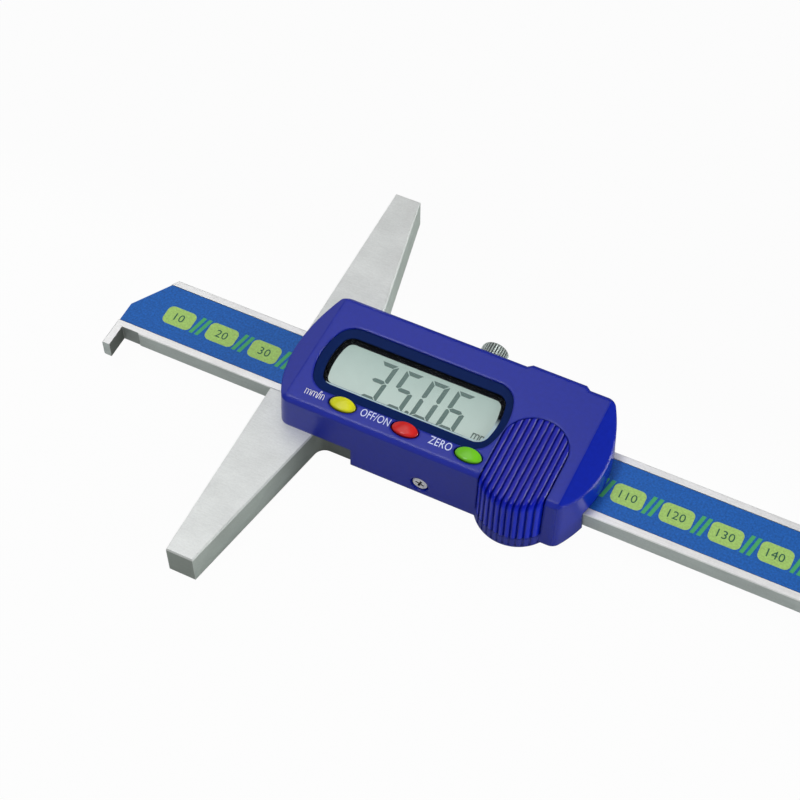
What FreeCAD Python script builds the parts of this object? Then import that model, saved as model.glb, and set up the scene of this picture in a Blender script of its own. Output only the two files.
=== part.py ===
import FreeCAD, Part
import math
import os
from FreeCAD import Vector

os.makedirs("parts", exist_ok=True)

# Digital depth gauge, lying on its back. X runs along the beam, from the hook to the tail,
# Y along the base, Z up. The origin is on the measuring face, on the beam's centre line, at the underside.

# Base and slider frame
base_length = 100.0
base_thickness = 7.2
base_tip_depth = 5.75
base_root_depth = 13.4
rail_width = 4.35
frame_end_inset = 5.3
root_fillet = 2.5
base_edge_break = 0.3
channel_floor = 3.0

# Beam, at the reading shown on the display
reading = 35.06
beam_length = 228.0
beam_width = 16.0
beam_thickness = 4.1
slide_gap = 0.05
nose_thickness = 1.7
nose_reach = 4.85
tip_taper_length = 6.26
tip_flat_height = 6.3
relief_length = 4.1
relief_depth = 0.3
beam_edge_break = 0.2

# Scale strip let into the beam
scale_margin = 1.6
scale_offset = 0.05
scale_board_thickness = 1.0
scale_label_thickness = 0.15
label_sink = 0.06
scale_side_gap = 0.12

# End stop at the tail
stop_length = 4.0
stop_inset = 1.0
stop_thickness = 1.5
stop_screw_radius = 0.9

# Gib strip and its screws
gib_thickness = 1.35
gib_start = 14.5
gib_end_gap = 0.3
gib_screw_radius = 1.0
gib_screw_offset = 9.5
gib_socket_radius = 0.5

# Clamp screw and side screw, level with the middle of the beam
lock_shift = 2.55
lock_head_radius = 3.0
lock_head_length = 6.3
lock_neck_radius = 1.7
lock_shank_radius = 1.2
lock_tip_gap = 0.05
lock_head_gap = 1.0
lock_flutes = 30
lock_flute_depth = 0.22
lock_head_round = 0.9
screw_clearance = 0.05
side_screw_shift = 0.2
side_head_radius = 1.62
side_head_height = 0.6
side_shank_radius = 0.95
side_screw_length = 4.6
side_pocket_radius = 1.95
side_pocket_depth = 0.85
side_slot_width = 0.45
side_slot_length = 2.0
side_slot_depth = 0.35

# Housing shell
housing_height = 8.4
housing_skirt = 5.0
skirt_start = 21.3
shoulder_drop = 0.8
shoulder_overhang = 1.8
shoulder_step = 1.0
housing_left = 2.0
bow_radius = 26.0
corner_radius = 2.3
wall_draft = 3.0
end_bevel_slope = 0.61
left_bevel = 4.55
right_bevel = 4.45
side_wall = 1.4
top_wall = 1.3
rim_height = 0.4
rim_inset = 0.15
beam_slot_gap = 0.25

# Posts for the housing screws, which come from the back
post_near_x = 11.4
post_far_x = 12.5
post_end_inset = 2.6
post_side_inset = 1.65
post_radius = 1.5
post_screw_radius = 0.8
post_hole_clearance = 0.15
screw_head_radius = 1.45
screw_head_sink = 0.15
screw_bite = 4.0

# Guide plate and circuit board
plate_thickness = 0.6
plate_start = 10.0
plate_inset = 0.25
window_start = 20.0
window_end_inset = 13.8
window_inset = 2.5
board_thickness = 1.0
board_start = 14.3
board_end_inset = 2.5
board_gap = 0.2
board_far_inset = 3.85
post_gap = 0.2
chip_size = 8.0
chip_height = 1.0
chip_x = 27.0

# Display
bezel_left = 8.1
bezel_length = 40.4
bezel_side_gap = 4.65
bezel_centre_y = -0.8
bezel_bow = 15.5
bezel_corner = 4.7
bezel_sink = 0.3
bezel_dish = 0.2
bezel_rim = 0.4
bezel_seat_depth = 0.75
bezel_ledge = 0.8
aperture_left_inset = 2.1
aperture_right_inset = 1.6
aperture_side_inset = 2.3
aperture_bow = 17.0
aperture_corner = 2.6
display_lip = 0.9
display_depth = 1.55
holder_wall = 0.45
holder_margin = 1.1
lens_thickness = 0.6
lens_gap = 0.05
glass_thickness = 1.1
glass_step = 1.1
strip_width = 1.1
strip_end = 2.0

# Buttons
button_shift = 3.0
button_inset = 2.55
button_half_length = 2.75
button_half_width = 1.55
button_rise = 0.75
button_dome = 0.7
button_round = 0.4
button_gap = 0.25
button_flange = 0.55
button_flange_side = 0.1
button_flange_height = 0.6
button_travel = 0.4
mat_thickness = 0.5
mat_half_width = 1.9
mat_pad_inset = 0.8
fit_gap = 0.1

# Battery, its contacts and its cover
cell_radius = 5.8
cell_height = 5.4
cell_inset = 5.55
contact_thickness = 0.15
contact_radius = 3.0
side_contact_angle = 70.0
side_contact_height = 3.6
cover_bezel_gap = 0.15
cover_end_inset = 13.8
cover_half_width = 6.65
cover_round_inset = 10.8
cover_thickness = 0.75
cover_wall = 1.1
cover_gap = 0.15
cover_ledge = 0.7
bulge_radius = 8.15
bulge_overhang = 3.7
bulge_edge_round = 1.5
bulge_slope = 0.034
seam_height = 2.7
rib_count = 11
rib_width = 0.8
rib_height = 0.18

# Output port
port_end_inset = 9.3
port_bulge_length = 13.5
port_bulge_slope = 1.0
port_bulge_reach = 0.8
port_shift = 0.15
port_length = 7.8
port_height = 4.2
port_floor_rise = 1.2
port_gap = 0.12
port_cover_thickness = 1.4
port_rib_height = 0.25
socket_length = 6.4
socket_height = 3.0
socket_depth = 5.5
socket_contacts = 4

# Widths worked out from the beam's, from the middle outwards
frame_width = beam_width + 2 * rail_width
scale_width = beam_width - 2 * scale_margin
stop_width = beam_width - 2 * stop_inset
stop_screw_spacing = stop_width / 2
shoulder_half_width = frame_width / 2 + shoulder_overhang
top_half_width = shoulder_half_width - shoulder_step
plate_half_width = frame_width / 2 - plate_inset
window_width = beam_width - 2 * window_inset
board_near = board_gap + side_wall - shoulder_half_width
board_far = shoulder_half_width - side_wall - board_far_inset
bezel_half_height = top_half_width - bezel_side_gap
aperture_half_height = bezel_half_height - aperture_side_inset
button_y = button_inset - top_half_width
bulge_reach = shoulder_half_width + bulge_overhang
cell_y = cell_inset - shoulder_half_width
cover_round_y = cover_round_inset - shoulder_half_width

# Lengths worked out from the display's, from the measuring face to the battery end
bezel_right = bezel_left + bezel_length
aperture_left = bezel_left + aperture_left_inset
aperture_right = bezel_right - aperture_right_inset
middle_button_x = bezel_left + bezel_length / 2 + button_shift
button_xs = [middle_button_x + i * bezel_length / 3 for i in (-1, 0, 1)]
cover_x = bezel_right + cover_bezel_gap + cover_half_width
housing_right = cover_x + cover_end_inset
left_crease = housing_left + left_bevel
right_crease = housing_right - right_bevel
frame_length = housing_right - frame_end_inset
lock_x = (gib_start + frame_length) / 2 - lock_shift
side_screw_x = lock_x - side_screw_shift
window_length = frame_length - window_end_inset - window_start
board_end = frame_length - board_end_inset
port_bulge_end = housing_right - port_end_inset
port_bulge_start = port_bulge_end - port_bulge_length
port_centre = (port_bulge_start + port_bulge_end) / 2 + port_shift
post_y = frame_width / 2 - post_side_inset
post_places = [(post_near_x, -post_y), ((button_xs[0] + button_xs[1]) / 2, -post_y),
               (post_far_x, post_y), (frame_length - post_end_inset, post_y)]

# Levels worked out from the sizes above
beam_bottom = channel_floor + slide_gap
beam_top = beam_bottom + beam_thickness
beam_axis_z = beam_bottom + beam_thickness / 2
housing_bottom = base_thickness - housing_skirt
housing_top = base_thickness + housing_height
shoulder_z = housing_top - shoulder_drop
ceiling = housing_top - top_wall
plate_top = base_thickness + plate_thickness
board_top = plate_top + board_thickness
glass_top = housing_top - display_depth
cover_underside = housing_top - rib_height - cover_thickness
rim_z = housing_bottom + rim_height
seam_z = housing_bottom + seam_height
draft = math.tan(math.radians(wall_draft))
channel_near = -beam_width / 2 - slide_gap
gib_inner = beam_width / 2 + slide_gap
gib_outer = gib_inner + gib_thickness
channel_far = gib_outer + slide_gap
hook_outer_x = -reading - nose_thickness
tail_x = hook_outer_x + beam_length
past = 1.0


def save(node, shape):
    """Write one piece to its own file."""
    shape.exportStep("parts/" + node + ".step")


def block(x0, x1, y0, y1, z0, z1):
    """Box between two corners."""
    return Part.makeBox(x1 - x0, y1 - y0, z1 - z0, Vector(x0, y0, z0))


def post(radius, x, y, z0, z1):
    """Upright cylinder."""
    return Part.makeCylinder(radius, z1 - z0, Vector(x, y, z0))


def rod(radius, x, y0, y1, z):
    """Cylinder along Y."""
    return Part.makeCylinder(radius, y1 - y0, Vector(x, y0, z), Vector(0, 1, 0))


def plate(points, z0, z1):
    """Upright prism over a plan outline given as X, Y points."""
    corners = [Vector(x, y, z0) for x, y in points]
    face = Part.Face(Part.makePolygon(corners + corners[:1]))
    return face.extrude(Vector(0, 0, z1 - z0))


def oval(half_x, half_y, x, y, z0, z1):
    """Upright elliptical prism."""
    if half_x < half_y:
        curve = Part.Ellipse(Vector(x, y + half_y, z0), Vector(x + half_x, y, z0), Vector(x, y, z0))
    else:
        curve = Part.Ellipse(Vector(x + half_x, y, z0), Vector(x, y + half_y, z0), Vector(x, y, z0))
    face = Part.Face(Part.Wire([curve.toShape()]))
    return face.extrude(Vector(0, 0, z1 - z0))


def bowed_wire(left, right, half, bow, corner, centre_y, z):
    """Outline with straight long sides, bowed ends and rounded corners."""
    ends = []
    for x_end, sign in ((right, 1), (left, -1)):
        bow_x = x_end - sign * bow
        corner_x = bow_x + sign * math.sqrt((bow - corner) ** 2 - (half - corner) ** 2)
        ends.append((sign, x_end, bow_x, corner_x))
    edges = []
    last = None
    first = None
    for sign, x_end, bow_x, corner_x in ends:
        for side in (-sign, sign):
            centre = Vector(corner_x, centre_y + side * (half - corner), z)
            out = centre - Vector(bow_x, centre_y, z)
            out.normalize()
            on_side = centre + Vector(0, side * corner, 0)
            on_bow = centre + out * corner
            turn = out + Vector(0, side, 0)
            turn.normalize()
            middle = centre + turn * corner
            start, stop = (on_side, on_bow) if side == -sign else (on_bow, on_side)
            if last is not None and side == -sign:
                edges.append(Part.LineSegment(last, start).toShape())
            if side == sign:
                edges.append(Part.Arc(last, Vector(x_end, centre_y, z), start).toShape())
            edges.append(Part.Arc(start, middle, stop).toShape())
            last = stop
            if first is None:
                first = start
    edges.append(Part.LineSegment(last, first).toShape())
    return Part.Wire(edges)


def bowed_prism(outline, z0, z1, grow=0.0):
    """Upright prism over a bowed outline, grown or shrunk all round."""
    left, right, half, bow, corner, centre_y = outline
    wire = bowed_wire(left - grow, right + grow, half + grow, bow + grow, corner + grow, centre_y, z0)
    return Part.Face(wire).extrude(Vector(0, 0, z1 - z0))


def bowed_loft(low, high):
    """Solid between two bowed outlines, each given with its height."""
    return Part.makeLoft([bowed_wire(*low), bowed_wire(*high)], True, True)


def countersunk_screw(x, y):
    """Housing screw, head down."""
    head_low = screw_head_sink
    head_high = head_low + screw_head_radius - post_screw_radius
    head = Part.makeCone(screw_head_radius, post_screw_radius, head_high - head_low, Vector(x, y, head_low))
    shank = post(post_screw_radius, x, y, head_high, plate_top + screw_bite)
    cut = block(x - screw_head_radius, x + screw_head_radius, y - 0.25, y + 0.25, head_low, head_low + 0.4)
    return head.fuse(shank).cut(cut)


def screw_clearance_hole(x, y):
    """Hole and countersink for a housing screw."""
    head_high = screw_head_sink + screw_head_radius - post_screw_radius
    mouth = post(screw_head_radius, x, y, -past, screw_head_sink)
    cone = Part.makeCone(screw_head_radius, post_screw_radius, head_high - screw_head_sink,
                         Vector(x, y, screw_head_sink))
    shaft = post(post_screw_radius + post_hole_clearance, x, y, head_high, plate_top + past)
    return mouth.fuse([cone, shaft])


def upright_edges(shape, places, reach=0.01):
    """Vertical edges of a shape at the given X, Y places."""
    found = []
    for edge in shape.Edges:
        a, b = edge.Vertexes[0].Point, edge.Vertexes[-1].Point
        upright = abs(a.x - b.x) < reach and abs(a.y - b.y) < reach and abs(a.z - b.z) > reach
        if upright and any(abs(a.x - x) < reach and abs(a.y - y) < reach for x, y in places):
            found.append(edge)
    return found


def base_frame():
    """Tapered base and slider channel, ground from one piece of steel."""
    half = base_length / 2
    side = frame_width / 2
    body = plate([(0, -half), (base_tip_depth, -half), (base_root_depth, -side), (frame_length, -side),
                  (frame_length, side), (base_root_depth, side), (base_tip_depth, half), (0, half)],
                 0, base_thickness)
    roots = upright_edges(body, [(base_root_depth, -side), (base_root_depth, side)])
    body = body.makeFillet(root_fillet, roots)
    rim = []
    for edge in body.Edges:
        box = edge.BoundBox
        if box.ZMin > base_thickness - 0.01 and box.XMax > 0.01:
            rim.append(edge)
    body = body.makeChamfer(base_edge_break, rim)
    tools = [block(-past, frame_length + past, channel_near, -channel_near, channel_floor, base_thickness + past),
             block(gib_start, frame_length + past, channel_near, channel_far, channel_floor,
                   base_thickness + past),
             rod(lock_shank_radius + screw_clearance, lock_x, 0, side + past, beam_axis_z),
             rod(side_shank_radius, side_screw_x, -side - past, channel_near - 1.0, beam_axis_z)]
    for x in gib_screw_xs():
        tools.append(rod(gib_screw_radius, x, 0, side + past, beam_axis_z))
    for x, y in post_places:
        tools.append(screw_clearance_hole(x, y))
    return body.cut(tools)


def gib_screw_xs():
    return [lock_x - gib_screw_offset, lock_x + gib_screw_offset]


def gib_strip():
    """Hard strip that the screws press against the beam."""
    strip = block(gib_start + gib_end_gap, frame_length - gib_end_gap, gib_inner, gib_outer,
                  channel_floor, beam_top)
    ends = [edge for edge in strip.Edges if abs(edge.Length - gib_thickness) < 0.01]
    return strip.makeChamfer(gib_thickness / 4, ends)


def gib_screws():
    """Two grub screws with a slot each."""
    outer = frame_width / 2 - 0.2
    screws = []
    for x in gib_screw_xs():
        screw = rod(gib_screw_radius, x, gib_outer, outer, beam_axis_z)
        socket = rod(gib_socket_radius, x, outer - 0.9, outer + past, beam_axis_z)
        screws.append(screw.cut(socket))
    return Part.makeCompound(screws)


def beam_outline(z0, z1):
    """Hooked and tapered outline of the beam."""
    half = beam_width / 2
    hook_inner = hook_outer_x + nose_thickness
    relief_end = hook_inner + relief_length
    points = [(hook_outer_x, -half - nose_reach), (hook_inner, -half - nose_reach),
              (hook_inner, -half + relief_depth), (relief_end - relief_depth, -half + relief_depth),
              (relief_end, -half), (tail_x, -half), (tail_x, half),
              (hook_outer_x + tip_taper_length, half), (hook_outer_x, -half + tip_flat_height)]
    return plate(points, z0, z1)


def scale_recess(gap, z0, z1):
    """Long block in the place of the scale strip."""
    half = scale_width / 2 - gap
    return block(hook_outer_x - past, tail_x + past, scale_offset - half, scale_offset + half, z0, z1)


def beam():
    """Steel beam with its hook and the milled recess for the scale."""
    body = beam_outline(beam_bottom, beam_top)
    long_edges = []
    for edge in body.Edges:
        level = edge.BoundBox
        if level.ZLength < 0.01 and edge.Length > relief_length * 2:
            long_edges.append(edge)
    body = body.makeChamfer(beam_edge_break, long_edges)
    floor = scale_floor()
    tools = [scale_recess(0, floor, beam_top + past)]
    for y in stop_screw_ys():
        tools.append(post(stop_screw_radius, tail_x - stop_length / 2, y, beam_bottom - past, floor + past))
    return body.cut(tools)


def scale_floor():
    return beam_top - label_sink - scale_label_thickness - scale_board_thickness


def scale_layer(z0, z1, end):
    """Layer of the scale strip, with its end cut like the beam's tip."""
    inset = 0.3
    strip = scale_recess(scale_side_gap, z0, z1)
    tip = beam_outline(z0 - past, z1 + past)
    trimmed = strip.common(tip)
    slant = Vector(beam_width - tip_flat_height, -tip_taper_length, 0)
    slant.normalize()
    shift = Vector(inset, 0, 0)
    shifted = trimmed.copy()
    shifted.translate(shift)
    keep = block(hook_outer_x, end, -beam_width, beam_width, z0 - past, z1 + past)
    return trimmed.common([shifted]).common(keep)


def scale_board():
    """Etched board that the sensor reads."""
    floor = scale_floor()
    board = scale_layer(floor, floor + scale_board_thickness, tail_x)
    holes = [post(stop_screw_radius, tail_x - stop_length / 2, y, floor - past, beam_top + past)
             for y in stop_screw_ys()]
    return board.cut(holes)


def scale_label():
    """Printed strip over the board, up to the end stop."""
    low = scale_floor() + scale_board_thickness
    return scale_layer(low, low + scale_label_thickness, tail_x - stop_length)


def stop_screw_ys():
    return [-stop_screw_spacing / 2, stop_screw_spacing / 2]


def end_stop():
    """Plate across the tail that keeps the slider on the beam."""
    x0 = tail_x - stop_length
    half = stop_width / 2
    floor = scale_floor() + scale_board_thickness
    bar = block(x0, tail_x, -half, half, beam_top, beam_top + stop_thickness)
    rim = [edge for edge in bar.Edges if edge.BoundBox.ZMin > beam_top + 0.01]
    bar = bar.makeChamfer(stop_thickness / 5, rim)
    key = block(x0 + 0.1, tail_x, scale_offset - scale_width / 2 + scale_side_gap,
                scale_offset + scale_width / 2 - scale_side_gap, floor, beam_top)
    holes = [post(stop_screw_radius, tail_x - stop_length / 2, y, floor - past, beam_top + stop_thickness + past)
             for y in stop_screw_ys()]
    return bar.fuse(key).cut(holes)


def end_stop_screws():
    """Two small pan-head screws."""
    screws = []
    top = beam_top + stop_thickness
    x = tail_x - stop_length / 2
    for y in stop_screw_ys():
        shank = post(stop_screw_radius, x, y, beam_bottom + 0.2, top)
        head = post(stop_screw_radius * 1.7, x, y, top, top + 0.7)
        slot = block(x - 2, x + 2, y - 0.2, y + 0.2, top + 0.4, top + past)
        screws.append(shank.fuse(head).cut(slot))
    return Part.makeCompound(screws)


def guide_plate():
    """Thin plate over the channel, with a window for the sensor."""
    sheet = block(plate_start, frame_length, -plate_half_width, plate_half_width, base_thickness, plate_top)
    corners = [edge for edge in sheet.Edges if abs(edge.Length - plate_thickness) < 0.01]
    sheet = sheet.makeFillet(1.0, corners)
    window = block(window_start, window_start + window_length, -window_width / 2, window_width / 2,
                   base_thickness - past, plate_top + past)
    holes = [post(post_screw_radius + post_hole_clearance, x, y, base_thickness - past, plate_top + past)
             for x, y in post_places]
    return sheet.cut([window] + holes)


def circuit_board():
    """Board with the sensor on its underside and a tongue under the sensor window."""
    sheet = block(board_start, board_end, board_near, board_far, plate_top, board_top)
    sensor = block(window_start + fit_gap, window_start + window_length - fit_gap,
                   -window_width / 2 + fit_gap, window_width / 2 - fit_gap, base_thickness + 0.1, plate_top)
    holes = [post(post_radius + post_gap, x, y, plate_top - past, board_top + past) for x, y in post_places]
    return sheet.fuse(sensor).cut(holes)


def controller_chip():
    """Flat chip with a row of legs on two sides."""
    half = chip_size / 2
    body = block(chip_x - half, chip_x + half, bezel_centre_y - half, bezel_centre_y + half,
                 board_top + 0.15, board_top + chip_height)
    legs = []
    for i in range(8):
        x = chip_x - half + chip_size * (i + 0.5) / 8
        legs.append(block(x - 0.2, x + 0.2, bezel_centre_y - half - 0.6, bezel_centre_y + half + 0.6,
                          board_top, board_top + 0.15))
    return body.fuse(legs)


def bezel_outline():
    return (bezel_left, bezel_right, bezel_half_height, bezel_bow, bezel_corner, bezel_centre_y)


def aperture_outline():
    return (aperture_left, aperture_right, aperture_half_height, aperture_bow, aperture_corner, bezel_centre_y)


def display_bezel():
    """Dark frame that dishes slightly towards the display."""
    outline = bezel_outline()
    opening = aperture_outline()
    seat = housing_top - bezel_seat_depth
    rim_top = housing_top - bezel_sink
    wall_top = holder_top()
    left, right, half, bow, corner, centre_y = outline
    ring = bowed_prism(outline, seat, rim_top, -lens_gap)
    low = (opening[0], opening[1], opening[2], opening[3], opening[4], centre_y, rim_top - bezel_dish)
    high = (left + bezel_rim, right - bezel_rim, half - bezel_rim, bow - bezel_rim, corner - bezel_rim,
            centre_y, rim_top + 0.001)
    dish = bowed_loft(low, high)
    room = bowed_prism(opening, seat - past, wall_top, holder_wall + lens_gap)
    tools = [dish, room, bowed_prism(opening, seat - past, rim_top + past)]
    return ring.cut(tools + button_holes(seat - past, rim_top + past))


def holder_top():
    return housing_top - bezel_sink - bezel_dish - 0.2


def holder_outline(grow=0.0):
    """Left, right, near and far of the black frame round the display glass."""
    return (aperture_left - holder_margin - grow, aperture_right + holder_margin + grow,
            bezel_centre_y - aperture_half_height - holder_margin - grow,
            bezel_centre_y + aperture_half_height + holder_margin + grow)


def lcd_holder():
    """Black frame: legs on the board, a lip over the glass and the wall of the opening."""
    opening = aperture_outline()
    lip_top = glass_top + 0.2
    x0, x1, y0, y1 = holder_outline()
    legs = block(x0, x1, y0, y1, board_top, glass_top)
    room = block(x0 + holder_wall, x1 - holder_wall, y0 + holder_wall, y1 - holder_wall,
                 board_top - past, glass_top)
    lip = block(x0, x1, y0, y1, glass_top, lip_top)
    wall = bowed_prism(opening, lip_top, holder_top(), holder_wall)
    view = bowed_prism(opening, glass_top - past, lip_top, -display_lip)
    inside = bowed_prism(opening, lip_top, holder_top() + past)
    return legs.cut(room).fuse([lip, wall]).cut([view, inside])


def lcd_panel():
    """Two sheets of display glass, the lower one wider to carry the contacts."""
    gap = fit_gap
    x0, x1, y0, y1 = holder_outline(-holder_wall - gap)
    low = block(x0, x1, y0, y1, glass_top - 2 * glass_thickness, glass_top - glass_thickness)
    top = block(x0, x1, y0 + glass_step / 2, y1 - glass_step / 2, glass_top - glass_thickness, glass_top)
    return low.fuse(top).removeSplitter()


def contact_strips():
    """Two rubber strips that join the board to the display glass."""
    x0, x1, y0, y1 = holder_outline(-holder_wall - fit_gap)
    strips = []
    for y in (y0, y1 - strip_width):
        strips.append(block(x0 + strip_end, x1 - strip_end, y, y + strip_width,
                            board_top, glass_top - 2 * glass_thickness))
    return Part.makeCompound(strips)


def display_lens():
    """Clear window on the holder's lip."""
    low = glass_top + 0.2
    return bowed_prism(aperture_outline(), low, low + lens_thickness, -lens_gap)


def button(x):
    """Domed oval cap with a flange under the housing's top."""
    half_x, half_y = button_half_length, button_half_width
    peak = housing_top + button_rise
    sphere_radius = (half_x ** 2 + button_dome ** 2) / (2 * button_dome)
    flange_top = ceiling - fit_gap
    cap = oval(half_x, half_y, x, button_y, flange_top - 0.2, peak + past)
    dome = Part.makeSphere(sphere_radius, Vector(x, button_y, peak - sphere_radius))
    cap = cap.common(dome)
    crown = [edge for edge in cap.Edges if edge.BoundBox.ZMin > housing_top - 0.2]
    cap = cap.makeFillet(button_round, crown)
    flange = oval(half_x + button_flange, half_y + button_flange_side, x, button_y,
                  flange_top - button_flange_height, flange_top)
    return cap.fuse(flange)


def button_holes(z0, z1):
    """Clearance of the three caps."""
    return [oval(button_half_length + button_gap, button_half_width + button_gap, x, button_y, z0, z1)
            for x in button_xs]


def button_mat():
    """Rubber mat with one springy pad under each button."""
    x0 = button_xs[0] - button_half_length - 0.4
    x1 = button_xs[-1] + button_half_length + 0.4
    pad_top = ceiling - fit_gap - button_flange_height - button_travel - 0.05
    sheet = block(x0, x1, button_y - mat_half_width, button_y + mat_half_width, board_top,
                  board_top + mat_thickness)
    pads = []
    for x in button_xs:
        pads.append(oval(button_half_length - mat_pad_inset, button_half_width - mat_pad_inset / 2, x, button_y,
                         board_top, pad_top))
    notches = []
    for x, y in post_places:
        reach = post_radius + fit_gap
        notches.append(post(reach, x, y, board_top - past, pad_top + past))
        notches.append(block(x - reach, x + reach, board_near - past, y, board_top - past, pad_top + past))
    return sheet.fuse(pads).cut(notches)


def housing_section(z, half, inset=0.0):
    """Bowed outline of the housing at one height, drafted outwards towards the bottom."""
    spread = draft * (shoulder_z - z)
    if z > shoulder_z:
        spread = 0.0
    return (housing_left - spread + inset, housing_right + spread - inset, half + spread - inset,
            bow_radius, corner_radius, 0.0, z)


def end_cutters(inset):
    """Two wedges above the bevelled ends, moved inwards by a wall."""
    drop = inset * math.sqrt(1 + end_bevel_slope ** 2)
    reach = 30.0
    wedges = []
    for crease, sign in ((left_crease, -1), (right_crease, 1)):
        top = housing_top - drop
        points = [Vector(crease, -base_length, top),
                  Vector(crease + sign * reach, -base_length, top - reach * end_bevel_slope),
                  Vector(crease + sign * reach, -base_length, top + reach),
                  Vector(crease, -base_length, top + reach)]
        face = Part.Face(Part.makePolygon(points + points[:1]))
        wedges.append(face.extrude(Vector(0, 2 * base_length, 0)))
    return wedges


def port_bulge():
    """Raised block round the output port, with sloping ends."""
    sections = []
    levels = ((housing_bottom, 0), (shoulder_z, 0), (housing_top, shoulder_half_width - top_half_width))
    for z, step_in in levels:
        spread = max(0.0, draft * (shoulder_z - z))
        foot = shoulder_half_width + spread - step_in - 2.5
        reach = shoulder_half_width + spread - step_in + port_bulge_reach
        x0, x1 = port_bulge_start, port_bulge_end
        corners = [Vector(x0, foot, z), Vector(x1, foot, z), Vector(x1, reach - port_bulge_reach, z),
                   Vector(x1 - port_bulge_slope, reach, z), Vector(x0 + port_bulge_slope, reach, z),
                   Vector(x0, reach - port_bulge_reach, z)]
        sections.append(Part.makePolygon(corners + corners[:1]))
    lower = Part.makeLoft(sections[:2], True, True)
    upper = Part.makeLoft(sections[1:], True, True)
    return lower.fuse(upper).removeSplitter()


def housing_block():
    """Outer form of the housing before it is hollowed."""
    rim = bowed_loft(housing_section(housing_bottom, shoulder_half_width, rim_inset),
                     housing_section(rim_z, shoulder_half_width))
    lower = bowed_loft(housing_section(rim_z, shoulder_half_width),
                       housing_section(shoulder_z, shoulder_half_width))
    upper = bowed_loft(housing_section(shoulder_z, shoulder_half_width),
                       housing_section(housing_top, top_half_width))
    body = lower.fuse([rim, upper, port_bulge()]).cut(end_cutters(0.0))
    return body.removeSplitter()


def bulge(change, z0, z1):
    """Round thumb bulge in front of the battery, a little wider towards the bottom."""
    low, high = [bulge_radius + change + bulge_slope * (housing_top - z) for z in (z0, z1)]
    return Part.makeCone(low, high, z1 - z0, Vector(cover_x, bulge_radius - bulge_reach, z0))


def round_bulge(change, z0, z1):
    """Bulge with a rounded top edge."""
    body = bulge(change, z0, z1)
    top_edge = [edge for edge in body.Edges if edge.BoundBox.ZMin > z1 - 0.01]
    return body.makeFillet(bulge_edge_round + change, top_edge)


def ribs_on(shape, z0, z1):
    """Parts of a shape that stand out as the ribs of the thumb grip."""
    pitch = 2 * cover_half_width / rib_count
    bars = []
    for i in range(rib_count):
        x = cover_x - cover_half_width + pitch * (i + 0.5)
        bars.append(block(x - rib_width / 2, x + rib_width / 2, -bulge_reach - bulge_radius, base_length, z0, z1))
    return shape.common(Part.makeCompound(bars))


def cover_plan(grow, z0, z1):
    """Plan of the battery cover: round far end, straight sides, open towards the near edge."""
    radius = cover_half_width + grow
    near = -(bulge_reach + past)
    sides = block(cover_x - radius, cover_x + radius, near, cover_round_y, z0, z1)
    return sides.fuse(post(radius, cover_x, cover_round_y, z0, z1)).removeSplitter()


def housing_cavity():
    """Room inside the housing."""
    half = shoulder_half_width
    low = housing_section(housing_bottom - past, half, side_wall)
    high = housing_section(ceiling, half, side_wall)
    inner = bowed_loft(low, high)
    side = frame_width / 2 + cover_gap
    skirts = [block(-base_length, base_length, side, base_length, housing_bottom - 2 * past, base_thickness),
              block(-base_length, base_length, -base_length, -side, housing_bottom - 2 * past, base_thickness)]
    return inner.cut(end_cutters(top_wall) + skirts)


def housing():
    """Moulded shell: bevelled ends, bulges, display opening, posts and battery bay."""
    outer = housing_block()
    lip = [bulge(-rib_height, housing_bottom, seam_z), bulge(0.0, housing_bottom, rim_z),
           ribs_on(bulge(0.0, housing_bottom, seam_z), rim_z, seam_z),
           bulge(-cover_wall - cover_gap, seam_z, plate_top)]
    shell = outer.fuse(lip).cut(housing_cavity())
    rail = -frame_width / 2 - cover_gap
    shelf_room = block(cover_x - bulge_radius, cover_x + bulge_radius, rail, 0, housing_bottom - past, plate_top)
    posts = [post(post_radius, x, y, plate_top, ceiling + 0.1) for x, y in post_places]
    shell = shell.cut(shelf_room).fuse(posts)
    tools = [block(-past, skirt_start, -base_length, base_length, housing_bottom - past, base_thickness)]
    slot = beam_width / 2 + beam_slot_gap
    tools.append(block(-past, base_length, -slot, slot, housing_bottom - past, beam_top + beam_slot_gap))
    tools += battery_bay()
    tools += display_opening()
    tools += button_holes(ceiling - past, housing_top + past)
    for x, y in post_places:
        tools.append(post(post_screw_radius, x, y, plate_top - past, plate_top + screw_bite + 0.5))
    wall_y = side_wall_y(beam_axis_z)
    tools.append(rod(side_pocket_radius, side_screw_x, -wall_y - past, -wall_y + side_pocket_depth, beam_axis_z))
    tools.append(rod(side_shank_radius + 0.1, side_screw_x, -wall_y, -wall_y + 3, beam_axis_z))
    tools.append(rod(lock_neck_radius + 0.3, lock_x, frame_width / 2, wall_y + past, beam_axis_z))
    for x in gib_screw_xs():
        tools.append(rod(gib_screw_radius + 0.1, x, frame_width / 2, wall_y + past, beam_axis_z))
    tools.append(port_hole(0.0))
    return shell.cut(tools)


def side_wall_y(z):
    """Distance of the housing's side wall from the middle, at one height."""
    return shoulder_half_width + draft * (shoulder_z - z)


def battery_bay():
    """Recess for the cover's plate, the opening under it and the gap in the near wall."""
    seat = cover_underside - cover_gap / 3
    recess = cover_plan(cover_gap, seat, housing_top + past)
    opening = cover_plan(-cover_ledge, ceiling - past, seat)
    near = block(cover_x - cover_half_width - cover_gap, cover_x + cover_half_width + cover_gap,
                 -(bulge_reach + past), -side_wall_y(housing_top) + side_wall + 1.2,
                 seam_z, housing_top + past)
    keep_lip = bulge(-cover_wall - cover_gap, seam_z, plate_top)
    return [recess, opening, near.cut(keep_lip)]


def display_opening():
    """Recess for the bezel and the hole under it."""
    outline = bezel_outline()
    seat = housing_top - bezel_seat_depth
    return [bowed_prism(outline, seat, housing_top + past),
            bowed_prism(outline, ceiling - past, seat, -bezel_ledge)]


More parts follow.
